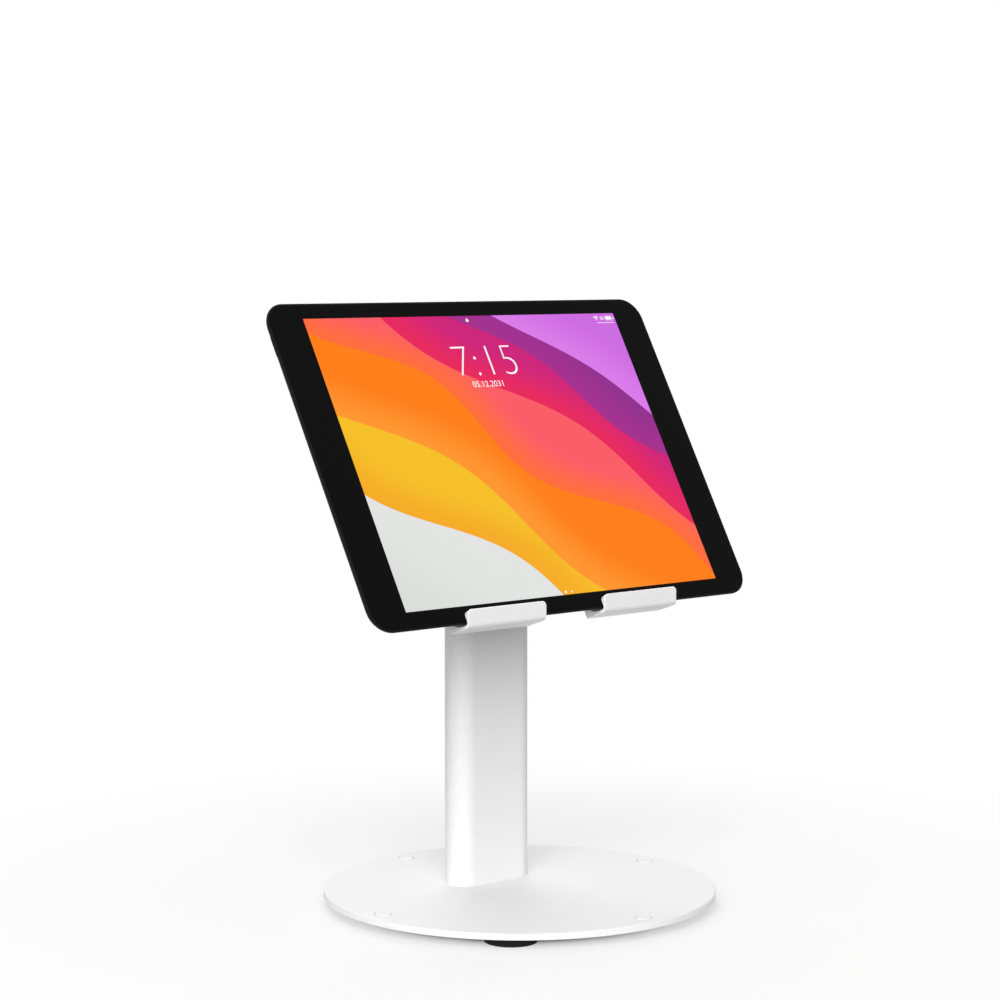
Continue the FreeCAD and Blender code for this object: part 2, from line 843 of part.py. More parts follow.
def button_switches():
    """The switch behind each button, standing on the shell's floor under the display panel."""
    start = button_flange_from_edge + button_flange_thickness + button_travel + button_clearance
    floor_drop = button_below_glass + shell_floor
    top = button_below_glass + panel_back - panel_clearance
    corner = Vector(start, -switch_width / 2, floor_drop)
    switches = []
    for name in button_names:
        block = Part.makeBox(switch_depth, switch_width, top - floor_drop, corner)
        switches.append(placed(block, edge_place(name)).common(tablet_cavity()))
    return Part.makeCompound(switches)


def standoff_positions():
    """Corners of the logic board where it is screwed down."""
    positions = []
    for side in (-1, 1):
        for level in (-1, 1):
            x = board_centre + side * (board_width / 2 - board_screw_inset)
            y = level * (board_height / 2 - board_screw_inset)
            positions.append((x, y))
    return positions


def port_place():
    """The charging port's place in the right edge, with x inwards."""
    return Placement(Vector(tablet_right, 0, -edge_row_below_glass), Rotation(Z_AXIS, 180))


def grille_holes():
    """Two rows of speaker holes in the right edge, either side of the port."""
    holes = []
    for side in (-1, 1):
        for i in range(grille_hole_count):
            y = side * (grille_first_hole + i * grille_hole_pitch)
            end = tablet_right + past
            start = tablet_right - 2 * shell_side_wall
            holes.append(cross_cylinder(grille_hole_diameter, start, end, y, -edge_row_below_glass))
    return holes


def rear_camera_position():
    """Plan position of the rear camera, near the power button."""
    return tablet_left + rear_camera_from_left, tablet_top - rear_camera_from_top


def tablet_shell():
    """Aluminium back shell with openings for the buttons, the port, the grilles and the camera."""
    outside = tablet_form()
    outside = outside.makeFillet(rim_radius, edges_at_height(outside, rim_top))
    shell = outside.cut(tablet_cavity())
    shell = shell.cut(glass_block(glass_clearance, glass_back, past))
    bosses = []
    for x, y in standoff_positions():
        root = shell_floor - shell_back_wall / 2
        bosses.append(cylinder(board_standoff_diameter, root, shell_floor + board_standoff, x, y))
    shell = shell.fuse(bosses).removeSplitter()
    cuts = [button_slot(name) for name in button_names]
    cuts += grille_holes()
    slot_width = port_width + 2 * screw_clearance
    slot_opening = port_opening + 2 * screw_clearance
    slot = edge_stadium(slot_width, slot_opening, -past, port_inset + port_depth)
    cuts.append(placed(slot, port_place()))
    x, y = rear_camera_position()
    camera_hole = rear_camera_diameter + 2 * camera_clearance
    cuts.append(cylinder(camera_hole, tablet_back - past, shell_floor + past, x, y))
    for x, y in standoff_positions():
        thread = board_screw_shank + 2 * press_clearance
        cuts.append(cylinder(thread, shell_floor, shell_floor + 2 * board_standoff, x, y))
    return shell.cut(cuts)


def cover_glass():
    """Sheet of glass over the whole front, inside the shell's rim."""
    glass = glass_block(0.0, glass_back, 0.0)
    return glass.makeFillet(glass_edge_radius, edges_at_height(glass, 0.0))


def display_panel():
    """Display panel against the back of the glass."""
    return block_at(0, 0, panel_width, panel_height, panel_back, glass_back)


def battery_cells():
    """Flat cells side by side on the shell's floor."""
    cells = []
    for i in range(cell_count):
        x = cells_left + cell_width / 2 + i * (cell_width + cell_gap)
        cell = rounded_block(cell_width, cell_height, cell_corner, shell_floor, cell_top)
        cells.append(moved(cell, x))
    return Part.makeCompound(cells)


def logic_board():
    """Circuit board on its standoffs, with two shield cans."""
    low = shell_floor + board_standoff
    high = low + board_thickness
    board = block_at(board_centre, 0, board_width, board_height, low, high)
    shield_top = panel_back - shield_to_panel
    shields = []
    for side in (-1, 1):
        y = side * shield_pitch / 2
        shields.append(block_at(board_centre, y, shield_width, shield_height, high, shield_top))
    board = board.fuse(shields)
    hole_diameter = board_screw_shank + 2 * screw_clearance
    holes = [cylinder(hole_diameter, low - past, high + past, x, y) for x, y in standoff_positions()]
    return board.cut(holes)


def board_screws():
    """Small screws through the logic board into the standoffs."""
    seat = shell_floor + board_standoff + board_thickness
    screws = []
    for x, y in standoff_positions():
        screw = cylinder(board_screw_head, seat, seat + board_screw_head_height, x, y)
        screws.append(screw.fuse(cylinder(board_screw_shank, shell_floor, seat, x, y)))
    return Part.makeCompound(screws)


def speakers():
    """Two speaker modules behind the grilles."""
    speaker_top = panel_back - speaker_to_panel
    modules = []
    for side in (-1, 1):
        module = rounded_block(speaker_width, speaker_height, speaker_corner, shell_floor, speaker_top)
        modules.append(moved(module, speaker_centre, side * grille_middle).common(tablet_cavity()))
    return Part.makeCompound(modules)


def charge_port():
    """Socket sleeve with its tongue, on a block that stands on the shell's floor."""
    socket_end = port_inset + port_depth
    sleeve = edge_stadium(port_width, port_opening, port_inset, socket_end)
    mouth_width = port_width - 2 * port_wall
    mouth_opening = port_opening - 2 * port_wall
    mouth = edge_stadium(mouth_width, mouth_opening, port_inset - past, socket_end - port_wall)
    tongue = Part.makeBox(
        port_depth - 2 * port_wall, port_tongue_width, port_tongue_thickness,
        Vector(port_inset + 2 * port_wall, -port_tongue_width / 2, -port_tongue_thickness / 2))
    floor_drop = edge_row_below_glass + shell_floor
    block_start = socket_end - port_depth / 2
    corner = Vector(block_start, -port_width / 2, floor_drop)
    block = Part.makeBox(socket_end - block_start, port_width, -floor_drop, corner)
    block = block.cut(edge_stadium(port_width, port_opening, 0, 2 * socket_end))
    block = placed(block, port_place()).common(tablet_cavity())
    port = placed(sleeve.cut(mouth).fuse(tongue), port_place()).common(tablet_form())
    return port.fuse(block)


def rear_camera():
    """Camera barrel in the shell's back, with a raised ring round the lens."""
    x, y = rear_camera_position()
    front = tablet_back - rear_camera_rise
    barrel = cylinder(rear_camera_diameter, front, tablet_back + rear_camera_depth, x, y)
    lens_diameter = rear_camera_diameter - 2 * rear_camera_ring
    return barrel.cut(cylinder(lens_diameter, front, front + rear_camera_lens_recess, x, y))


def front_camera():
    """Small camera behind the glass, in the left border."""
    x = tablet_left + front_camera_from_left
    barrel = cylinder(front_camera_diameter, shell_floor, glass_back, x, 0)
    low = shell_floor
    base = block_at(x, 0, front_camera_base, front_camera_base, low, low + front_camera_base_thickness)
    return barrel.fuse(base).common(tablet_cavity()).removeSplitter()


def keeper_plate():
    """Thin steel plate on the tablet's back, which the magnets hold."""
    return rounded_block(keeper_width, keeper_height, keeper_corner, keeper_back, tablet_back)


upright_pieces = {
    "base_plate": base_plate(),
    "hole_caps": hole_caps(),
    "rubber_feet": rubber_feet(),
    "post": post(),
    "post_screws": post_screws(),
    "hinge_block": hinge_block(),
    "block_screws": block_screws(),
    "pivot_bushing": pivot_bushing(),
    "friction_washers": friction_washers(),
    "pivot_bolt": pivot_bolt(),
    "disc_springs": disc_springs(),
    "plain_washer": plain_washer(),
    "pivot_nut": pivot_nut(),
}

leaning_pieces = {
    "hinge_bracket": hinge_bracket(),
    "bracket_screws": bracket_screws(),
    "cradle_plate": cradle_plate(),
    "magnet_tray": magnet_tray(),
    "magnets": magnets(),
    "keeper_plate": keeper_plate(),
    "tablet_shell": tablet_shell(),
    "cover_glass": cover_glass(),
    "display_panel": display_panel(),
    "battery_cells": battery_cells(),
    "logic_board": logic_board(),
    "board_screws": board_screws(),
    "speakers": speakers(),
    "charge_port": charge_port(),
    "rear_camera": rear_camera(),
    "front_camera": front_camera(),
    "button_switches": button_switches(),
}
for name in button_names:
    leaning_pieces[name] = button(name)

pieces = dict(upright_pieces)
for name, shape in leaning_pieces.items():
    pieces[name] = placed(shape, display_place)

os.makedirs("parts", exist_ok=True)
for name, shape in pieces.items():
    shape.exportStep("parts/" + name + ".step")
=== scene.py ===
import bpy
import bmesh
import json
import math
from mathutils import Euler, Matrix, Vector


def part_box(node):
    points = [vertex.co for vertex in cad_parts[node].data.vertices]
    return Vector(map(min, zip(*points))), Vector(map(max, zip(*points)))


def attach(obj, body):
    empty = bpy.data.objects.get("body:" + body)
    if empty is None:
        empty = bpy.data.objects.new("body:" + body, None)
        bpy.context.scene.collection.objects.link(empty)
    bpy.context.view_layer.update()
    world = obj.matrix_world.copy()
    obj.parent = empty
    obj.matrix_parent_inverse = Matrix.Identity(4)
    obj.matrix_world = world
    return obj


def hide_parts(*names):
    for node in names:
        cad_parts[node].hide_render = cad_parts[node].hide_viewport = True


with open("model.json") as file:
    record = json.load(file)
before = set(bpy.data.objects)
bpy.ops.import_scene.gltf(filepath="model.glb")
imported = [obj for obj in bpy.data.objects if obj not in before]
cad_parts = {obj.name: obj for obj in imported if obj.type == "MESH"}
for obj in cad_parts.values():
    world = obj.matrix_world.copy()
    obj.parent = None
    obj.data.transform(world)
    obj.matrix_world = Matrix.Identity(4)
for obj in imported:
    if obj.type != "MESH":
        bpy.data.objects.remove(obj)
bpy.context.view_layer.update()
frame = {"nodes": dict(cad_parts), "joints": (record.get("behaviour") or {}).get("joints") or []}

# The camera stands to the left of the stand and a little above the tablet, with a long lens.
# Its place is given from the middle of the base plate, on the floor.
camera_azimuth = math.radians(-41.691)
camera_pitch = math.radians(5.025)
camera_place = (-0.922753, -1.021155, 0.325481)
camera_lens = 99.51
film_width = 36.0
nearest_seen = 0.05
farthest_seen = 30.0

camera_data = bpy.data.cameras.new("camera")
camera_data.sensor_width = film_width
camera_data.lens = camera_lens
camera_data.clip_start = nearest_seen
camera_data.clip_end = farthest_seen
camera = bpy.data.objects.new("camera", camera_data)
bpy.context.scene.collection.objects.link(camera)
camera.location = camera_place
camera.rotation_euler = Euler((math.pi / 2 - camera_pitch, 0.0, camera_azimuth))
bpy.context.scene.camera = camera


# Base plate: a round steel disc with a softened rim, bolted down or left to stand.
# It is painted with a white powder coat whose satin face has a very fine orange-peel grain.

def new_finish(name):
    """A finish to build on: its material, the nodes and links of its tree, and its shader."""
    material = bpy.data.materials.new(name)
    material.use_nodes = True
    nodes = material.node_tree.nodes
    return material, nodes, material.node_tree.links, nodes["Principled BSDF"]


def pattern(nodes, links, kind, scale):
    """A pattern that fills the space round a piece, read from the piece's own coordinates."""
    place = nodes.new("ShaderNodeTexCoord")
    texture = nodes.new(kind)
    texture.inputs["Scale"].default_value = scale
    links.new(place.outputs["Object"], texture.inputs["Vector"])
    return texture


def cloudy(nodes, links, scale, detail):
    """A soft, cloudy pattern as a value between 0 and 1."""
    clouds = pattern(nodes, links, "ShaderNodeTexNoise", scale)
    clouds.inputs["Detail"].default_value = detail
    return clouds.outputs["Fac"]


def two_tones(nodes, links, source, dark, light, low=0.0, high=1.0):
    """A colour that runs from a dark tone, where a pattern is low, to a light one, where it is high."""
    ramp = nodes.new("ShaderNodeValToRGB")
    for element, position, tone in zip(ramp.color_ramp.elements, (low, high), (dark, light)):
        element.position = position
        element.color = list(tone) + [1]
    links.new(source, ramp.inputs["Fac"])
    return ramp.outputs["Color"]


def uneven_gloss(nodes, links, source, shader, roughness, swing):
    """Lets a pattern change the roughness by a small swing to either side."""
    gloss = nodes.new("ShaderNodeMapRange")
    gloss.inputs["To Min"].default_value = roughness - swing
    gloss.inputs["To Max"].default_value = roughness + swing
    links.new(source, gloss.inputs["Value"])
    links.new(gloss.outputs["Result"], shader.inputs["Roughness"])


def bumps(nodes, links, source, shader, strength, depth):
    """Lets a pattern raise and lower the face by a depth in metres."""
    bump = nodes.new("ShaderNodeBump")
    bump.inputs["Strength"].default_value = strength
    bump.inputs["Distance"].default_value = depth
    links.new(source, bump.inputs["Height"])
    links.new(bump.outputs["Normal"], shader.inputs["Normal"])


def coated_metal(name, colour, roughness, grain, depth, hollow_shade):
    """White paint baked on metal: fine bumps with painted shade in their hollows, and slow gloss changes
    over the face.
    """
    material, nodes, links, shader = new_finish(name)
    peel_and_shade = cloudy(nodes, links, 1.0 / grain, 2.0)
    drift = cloudy(nodes, links, 18.0, 1.0)
    # painted shade: the colour is made darker where the peel's bumps are low, in their hollows
    shaded_hollows = [(1 - hollow_shade) * part for part in colour]
    tint = two_tones(nodes, links, peel_and_shade, shaded_hollows, colour, 0.4, 0.6)
    links.new(tint, shader.inputs["Base Color"])
    uneven_gloss(nodes, links, drift, shader, roughness, 0.05)
    bumps(nodes, links, peel_and_shade, shader, 1.0, depth)
    return material


def coat(material, *node_names):
    """Gives a finish to pieces that keep the form they have in the frame."""
    for node_name in node_names:
        mesh = frame["nodes"][node_name].data
        mesh.materials.clear()
        mesh.materials.append(material)


base_coat = coated_metal(
    "base_coat", (0.88, 0.88, 0.88), roughness=0.5, grain=0.0012, depth=0.00001, hollow_shade=0.03)
coat(base_coat, "base_plate")


# Caps over the four bolt-down holes: low moulded plastic buttons pressed into round recesses.
# Each stands on a flange, so that a narrow gap runs round it, and has a slightly domed top.
cap_radius = 0.0044
cap_sides = 64
cap_flange = 0.0005
cap_gap = 0.00045
cap_wall = 0.0006
cap_wall_lean = 0.00003
cap_dome = ((0.0002, 0.00008), (0.0004, 0.00006), (0.0009, 0.00004))
crisp_angle = math.radians(40)


def work_on(piece):
    """Makes a piece the only selected and active one, so that the next steps act on it alone."""
    bpy.ops.object.select_all(action="DESELECT")
    piece.select_set(True)
    bpy.context.view_layer.objects.active = piece


def settle(piece):
    """Writes a piece's place into its mesh, so that its object sits at the origin."""
    work_on(piece)
    bpy.ops.object.transform_apply(location=True, rotation=True, scale=True)


def pick_faces(piece, facing):
    """Opens a piece in edit mode with only those faces selected that look up (1) or down (-1)."""
    nearly_straight = 0.99
    work_on(piece)
    bpy.ops.object.mode_set(mode="EDIT")
    bpy.ops.mesh.select_mode(type="FACE")
    bpy.ops.mesh.select_all(action="DESELECT")
    mesh = bmesh.from_edit_mesh(piece.data)
    for face in mesh.faces:
        face.select_set(face.normal.z * facing > nearly_straight)
    bmesh.update_edit_mesh(piece.data)


def close_edit():
    bpy.ops.object.mode_set(mode="OBJECT")


def shade_smooth():
    """Shades the selected piece smooth and leaves its sharper edges crisp."""
    bpy.ops.object.shade_smooth_by_angle(angle=crisp_angle)


def round_the_base(first, radius, first_angle):
    """Copies a piece to four places on a circle round the middle of the base, and joins them."""
    copies = []
    for quarter in range(4):
        angle = first_angle + quarter * math.pi / 2
        copy = bpy.data.objects.new(first.name + "_copy", first.data.copy())
        bpy.context.scene.collection.objects.link(copy)
        copy.data.transform(Matrix.Translation((radius * math.cos(angle), radius * math.sin(angle), 0)))
        copies.append(copy)
    bpy.ops.object.select_all(action="DESELECT")
    for copy in copies:
        copy.select_set(True)
    bpy.context.view_layer.objects.active = copies[0]
    bpy.ops.object.join()
    joined = bpy.context.object
    name = first.name
    bpy.data.objects.remove(first)
    joined.name = name
    return joined


def moulded_plastic(name, colour, roughness, grain, depth):
    """Plastic from a spark-eroded mould: an even matt grain, with painted shade that darkens the colour
    in each pit.
    """
    material, nodes, links, shader = new_finish(name)
    shader.inputs["Roughness"].default_value = roughness
    pits_and_shade = pattern(nodes, links, "ShaderNodeTexVoronoi", 1.0 / grain).outputs["Distance"]
    # painted shade: the colour is made darker in the pits of the grain, where the bumps are low
    shaded_pits = [0.9 * part for part in colour]
    tint = two_tones(nodes, links, pits_and_shade, shaded_pits, colour, 0.0, 0.5)
    links.new(tint, shader.inputs["Base Color"])
    bumps(nodes, links, pits_and_shade, shader, 0.6, depth)
    return material


caps_low, caps_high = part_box("hole_caps")
bpy.ops.object.select_all(action="DESELECT")
bpy.ops.mesh.primitive_cylinder_add(
    vertices=cap_sides, radius=cap_radius, depth=cap_flange, location=(0, 0, caps_low.z + cap_flange / 2))
cap = bpy.context.object
cap.name = "bolt_hole_caps"
settle(cap)
pick_faces(cap, facing=1)
bpy.ops.mesh.inset(thickness=cap_gap)
bpy.ops.mesh.inset(thickness=cap_wall_lean, depth=cap_wall)
for step_in, step_up in cap_dome:
    bpy.ops.mesh.inset(thickness=step_in, depth=step_up)
close_edit()
shade_smooth()
caps = round_the_base(cap, caps_high.x - cap_radius, 0.0)
cap_plastic = moulded_plastic(
    "cap_plastic", (0.86, 0.86, 0.86), roughness=0.4, grain=0.0004, depth=0.000005)
caps.data.materials.append(cap_plastic)
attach(caps, "stand")
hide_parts("hole_caps")


# Feet: four round black rubber pads glued under the disc, with rings cut in the face that grips.
foot_radius = 0.0132
foot_sides = 72
foot_edge = 0.0009
foot_ring_count = 3
foot_ring_width = 0.0012
foot_ring_depth = 0.0005
foot_ring_lean = 0.0001
foot_rib_width = 0.0018


def soften(piece, width, segments):
    """Bevels a piece's square edges and shades it smooth."""
    work_on(piece)
    bevel = piece.modifiers.new("edges", "BEVEL")
    bevel.width = width
    bevel.segments = segments
    bevel.limit_method = "ANGLE"
    bevel.angle_limit = math.radians(60)
    bpy.ops.object.modifier_apply(modifier="edges")
    shade_smooth()


def set_specular(material, level):
    material.node_tree.nodes["Principled BSDF"].inputs["Specular IOR Level"].default_value = level


feet_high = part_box("rubber_feet")[1]
bpy.ops.object.select_all(action="DESELECT")
bpy.ops.mesh.primitive_cylinder_add(
    vertices=foot_sides, radius=foot_radius, depth=feet_high.z, location=(0, 0, feet_high.z / 2))
foot = bpy.context.object
foot.name = "rubber_pads"
settle(foot)
soften(foot, foot_edge, segments=4)
pick_faces(foot, facing=-1)
for ring in range(foot_ring_count):
    bpy.ops.mesh.inset(thickness=foot_rib_width)
    bpy.ops.mesh.inset(thickness=foot_ring_lean, depth=-foot_ring_depth)
    bpy.ops.mesh.inset(thickness=foot_ring_width)
    bpy.ops.mesh.inset(thickness=foot_ring_lean, depth=foot_ring_depth)
close_edit()
shade_smooth()
feet = round_the_base(foot, (feet_high.x - foot_radius) * math.sqrt(2), math.pi / 4)
foot_rubber = moulded_plastic(
    "foot_rubber", (0.008, 0.008, 0.008), roughness=0.75, grain=0.0006, depth=0.00002)
set_specular(foot_rubber, 0.2)
feet.data.materials.append(foot_rubber)
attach(feet, "stand")
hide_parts("rubber_feet")


# Post and the block on top of it: an aluminium extrusion and a die-cast head.
# Both have the same powder coat as the base but with a coarser grain, which shows in raking light.
post_coat = coated_metal(
    "post_coat", (0.89, 0.89, 0.89), roughness=0.5, grain=0.0009, depth=0.00006, hollow_shade=0.05)
coat(post_coat, "post", "hinge_block")


# Screws, pivot bolt, nut, washer and disc springs: zinc-plated steel, with the plating's faint clouds.
# The hinge's sleeve and friction washers are a waxy bearing plastic.

def plated_metal(name, dark, light, roughness, cloud):
    """Plated or bare metal: clouds of two tones, with a changing polish."""
    material, nodes, links, shader = new_finish(name)
    shader.inputs["Metallic"].default_value = 1.0
    clouds = cloudy(nodes, links, 1.0 / cloud, 5.0)
    tint = two_tones(nodes, links, clouds, dark, light, 0.35, 0.65)
    links.new(tint, shader.inputs["Base Color"])
    uneven_gloss(nodes, links, clouds, shader, roughness, 0.08)
    return material


zinc = plated_metal("zinc_plate", (0.5, 0.51, 0.53), (0.66, 0.67, 0.69), roughness=0.32, cloud=0.004)
coat(zinc, "post_screws", "block_screws", "bracket_screws", "board_screws")
coat(zinc, "pivot_bolt", "pivot_nut", "plain_washer", "disc_springs")
bearing_plastic = moulded_plastic(
    "bearing_plastic", (0.74, 0.71, 0.62), roughness=0.45, grain=0.0008, depth=0.000005)
coat(bearing_plastic, "pivot_bushing", "friction_washers")


# Bracket and cradle plate: die-cast, with the satin coat of the base.
# The cradle's two hooks carry the tablet's lower edge, and their wedge-shaped lips keep it in.
head_coat = coated_metal(
    "head_coat", (0.96, 0.96, 0.96), roughness=0.4, grain=0.0012, depth=0.000004, hollow_shade=0.015)
coat(head_coat, "hinge_bracket", "cradle_plate")


# Magnet tray on the cradle's front, with its eight disc magnets, and the steel plate that they hold.
# The tray is moulded in white; the magnets are nickel-plated; the steel plate is stuck to the tablet.
tray_plastic = moulded_plastic(
    "tray_plastic", (0.85, 0.85, 0.85), roughness=0.45, grain=0.0008, depth=0.000008)
nickel = plated_metal("nickel_plate", (0.56, 0.54, 0.5), (0.7, 0.68, 0.64), roughness=0.22, cloud=0.006)
steel = plated_metal("brushed_steel", (0.42, 0.42, 0.43), (0.55, 0.55, 0.56), roughness=0.35, cloud=0.002)
coat(tray_plastic, "magnet_tray")
coat(nickel, "magnets")
coat(steel, "keeper_plate")


# Tablet shell and its buttons: milled aluminium, bead-blasted and anodised a very dark grey.
# The blasting's bumps carry a tight painted sparkle, lighter on their tops and darker in their dents,
# that shows only from close by.

def anodised(name, dark, light, roughness, grain):
    """Blasted and dyed aluminium: the bump of the blasting, and a fine two-tone painted sparkle lighter
    on the bumps' tops.
    """
    material, nodes, links, shader = new_finish(name)
    shader.inputs["Metallic"].default_value = 0.04
    shader.inputs["Roughness"].default_value = roughness
    set_specular(material, 0.04)
    beads_and_glints = cloudy(nodes, links, 1.0 / grain, 1.0)
    # painted highlight and shade: the colour is lighter where the blasting's bumps are high and darker
    # where they are low
    tint = two_tones(nodes, links, beads_and_glints, dark, light, 0.3, 0.7)
    links.new(tint, shader.inputs["Base Color"])
    bumps(nodes, links, beads_and_glints, shader, 0.5, 0.000006)
    return material


shell_finish = anodised(
    "dark_anodised", (0.006, 0.006, 0.0065), (0.01, 0.01, 0.011), roughness=0.42, grain=0.0003)
coat(shell_finish, "tablet_shell", "power_button", "volume_up_button", "volume_down_button")


# Inside the tablet: battery cells in foil, the logic board, the speakers and the display's layers.
# None of it shows while the tablet is closed.
cell_foil = plated_metal("cell_foil", (0.2, 0.2, 0.21), (0.32, 0.32, 0.33), roughness=0.4, cloud=0.01)
port_steel = plated_metal("port_steel", (0.4, 0.4, 0.41), (0.55, 0.55, 0.56), roughness=0.3, cloud=0.002)
board_laminate = moulded_plastic(
    "board_laminate", (0.02, 0.1, 0.05), roughness=0.5, grain=0.0015, depth=0.00002)
speaker_plastic = moulded_plastic(
    "speaker_plastic", (0.03, 0.03, 0.03), roughness=0.5, grain=0.0005, depth=0.00001)
panel_layers = moulded_plastic(
    "panel_layers", (0.05, 0.05, 0.06), roughness=0.3, grain=0.002, depth=0.000002)
camera_body = moulded_plastic(
    "camera_body", (0.015, 0.015, 0.015), roughness=0.45, grain=0.0005, depth=0.00001)
coat(cell_foil, "battery_cells")
coat(board_laminate, "logic_board")
coat(speaker_plastic, "speakers", "button_switches")
coat(port_steel, "charge_port")
coat(panel_layers, "display_panel")
coat(camera_body, "front_camera", "rear_camera")


# Cover glass: one sheet over the whole front, printed black from behind round the picture.
# The print gives it its colour; a hard coating keeps reflections low.
glass_finish = moulded_plastic(
    "printed_glass", (0.0036, 0.0036, 0.0038), roughness=0.25, grain=0.003, depth=0.0000002)
set_specular(glass_finish, 0.025)
coat(glass_finish, "cover_glass")


# Lit picture: what the display shows, a plain design of soft waves of colour.
# It lies on the glass as a thin film, since the display is bonded to the glass without an air gap.
picture_width = 0.2078
picture_height = 0.1559
film_thickness = 0.00003

slide = [joint for joint in frame["joints"] if joint["name"] == "tablet_lift"][0]
up_glass = Vector(slide["axis"]).normalized()
out_of_glass = Vector((0, -up_glass.z, up_glass.y))
glass = frame["nodes"]["cover_glass"]
glass_points = [glass.matrix_world @ vertex.co for vertex in glass.data.vertices]
glass_level = max(point.dot(out_of_glass) for point in glass_points)
glass_heights = [point.dot(up_glass) for point in glass_points]
glass_middle = (min(glass_heights) + max(glass_heights)) / 2
glass_face = up_glass * glass_middle + out_of_glass * glass_level
glass_place = Matrix((
    (1, 0, 0, glass_face.x),
    (0, up_glass.y, out_of_glass.y, glass_face.y),
    (0, up_glass.z, out_of_glass.z, glass_face.z),
    (0, 0, 0, 1),
))


def onto_glass(piece):
    """Carries a piece drawn flat, x right, y up and z out, onto the face of the glass."""
    piece.data.transform(piece.matrix_world)
    piece.matrix_world = Matrix.Identity(4)
    piece.data.transform(glass_place)
    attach(piece, "tablet")


def thicken(piece, thickness):
    """Gives a flat piece a thickness, upwards."""
    work_on(piece)
    solid = piece.modifiers.new("thickness", "SOLIDIFY")
    solid.thickness = thickness
    solid.offset = 1.0
    bpy.ops.object.modifier_apply(modifier="thickness")


def lit_finish(name):
    """A finish that gives light of its own and mirrors next to nothing."""
    material, nodes, links, shader = new_finish(name)
    shader.inputs["Base Color"].default_value = (0.004, 0.004, 0.004, 1)
    shader.inputs["Emission Strength"].default_value = 1.0
    set_specular(material, 0.06)
    return material, nodes, links, shader


def wave_picture():
    """Bands of colour from the lower left corner to the upper right one, each edge a wave of its own.

    Every band has a colour at its edge and one deeper in, where it sits along the slanting way, and
    its wave's height, length and start.
    """
    grey = (0.70, 0.71, 0.70)
    pale_grey = (0.76, 0.77, 0.76)
    amber = (0.91, 0.40, 0.01)
    yellow = (0.91, 0.52, 0.012)
    light_orange = (1.0, 0.30, 0.02)
    orange = (0.99, 0.20, 0.0)
    coral = (1.0, 0.145, 0.035)
    pink = (0.95, 0.10, 0.13)
    red = (0.80, 0.012, 0.10)
    magenta = (0.60, 0.008, 0.19)
    plum = (0.36, 0.02, 0.26)
    purple = (0.27, 0.02, 0.27)
    lilac = (0.70, 0.19, 0.82)
    violet = (0.60, 0.14, 0.75)
    bands = [
        (amber, yellow, 0.46, 0.070, 5.0, 0.4),
        (light_orange, orange, 0.70, 0.080, 4.2, 2.3),
        (coral, pink, 1.02, 0.080, 5.5, 4.1),
        (red, magenta, 1.26, 0.065, 4.6, 0.9),
        (plum, purple, 1.47, 0.045, 6.0, 2.6),
        (lilac, violet, 1.61, 0.035, 5.2, 1.2),
    ]
    band_fade = 0.22
    edge_blur = 0.004
    corner_fade = 0.4
    material, nodes, links, shader = lit_finish("lit_picture")
    shader.inputs["Roughness"].default_value = 0.22

    def maths(operation, first, second=0.0):
        node = nodes.new("ShaderNodeMath")
        node.operation = operation
        for socket, value in zip(node.inputs, (first, second)):
            if isinstance(value, (int, float)):
                socket.default_value = value
            else:
                links.new(value, socket)
        return node.outputs["Value"]

    def blend(share, first, second):
        node = nodes.new("ShaderNodeMix")
        node.data_type = "RGBA"
        links.new(share, node.inputs["Factor"])
        for socket, value in zip((node.inputs["A"], node.inputs["B"]), (first, second)):
            if isinstance(value, tuple):
                socket.default_value = value + (1,)
            else:
                links.new(value, socket)
        return node.outputs["Result"]

    def fade_in(value, far):
        node = nodes.new("ShaderNodeMapRange")
        node.interpolation_type = "SMOOTHSTEP"
        node.inputs["From Min"].default_value = 0.0
        node.inputs["From Max"].default_value = far
        links.new(value, node.inputs["Value"])
        return node.outputs["Result"]

    place = nodes.new("ShaderNodeUVMap")
    split = nodes.new("ShaderNodeSeparateXYZ")
    links.new(place.outputs["UV"], split.inputs["Vector"])
    across = split.outputs["X"]
    rise = split.outputs["Y"]
    along = maths("ADD", across, rise)
    beside = maths("SUBTRACT", across, rise)
    colour = blend(fade_in(along, corner_fade), grey, pale_grey)
    for edge_colour, deep_colour, start, height, length, turn in bands:
        swing = maths("SINE", maths("ADD", maths("MULTIPLY", beside, length), turn))
        inside = maths("SUBTRACT", along, maths("ADD", maths("MULTIPLY", swing, height), start))
        band = blend(fade_in(inside, band_fade), edge_colour, deep_colour)
        colour = blend(fade_in(inside, edge_blur), colour, band)
    links.new(colour, shader.inputs["Emission Color"])
    return material


bpy.ops.object.select_all(action="DESELECT")
bpy.ops.mesh.primitive_plane_add(size=1.0, location=(0, 0, film_thickness / 4))
picture = bpy.context.object
picture.name = "lit_picture"
picture.scale = (picture_width, picture_height, 1)
settle(picture)
thicken(picture, film_thickness)
picture.data.materials.append(wave_picture())
onto_glass(picture)


# Marks on the picture: the time and date in plain figures, a padlock, the state marks at the
# upper right and two page dots at the foot. They are light, like the picture, and lie just over it.
mark_level = 0.00004
mark_thickness = 0.00001


def lit_white():
    """White light with a trace of unevenness, as pixels have."""
    material, nodes, links, shader = lit_finish("lit_white")
    pixels = cloudy(nodes, links, 4000.0, 2.0)
    tint = two_tones(nodes, links, pixels, (0.93, 0.93, 0.91), (1, 1, 1))
    links.new(tint, shader.inputs["Emission Color"])
    return material


white_light = lit_white()


def join_marks(name, shapes):
    """Joins flat shapes into one mark, thickens it and lays it on the glass."""
    bpy.ops.object.select_all(action="DESELECT")
    for shape in shapes:
        shape.select_set(True)
    bpy.context.view_layer.objects.active = shapes[0]
    if len(shapes) > 1:
        bpy.ops.object.join()
    mark = bpy.context.object
    mark.name = name
    thicken(mark, mark_thickness)
    mark.data.materials.clear()
    mark.data.materials.append(white_light)
    onto_glass(mark)


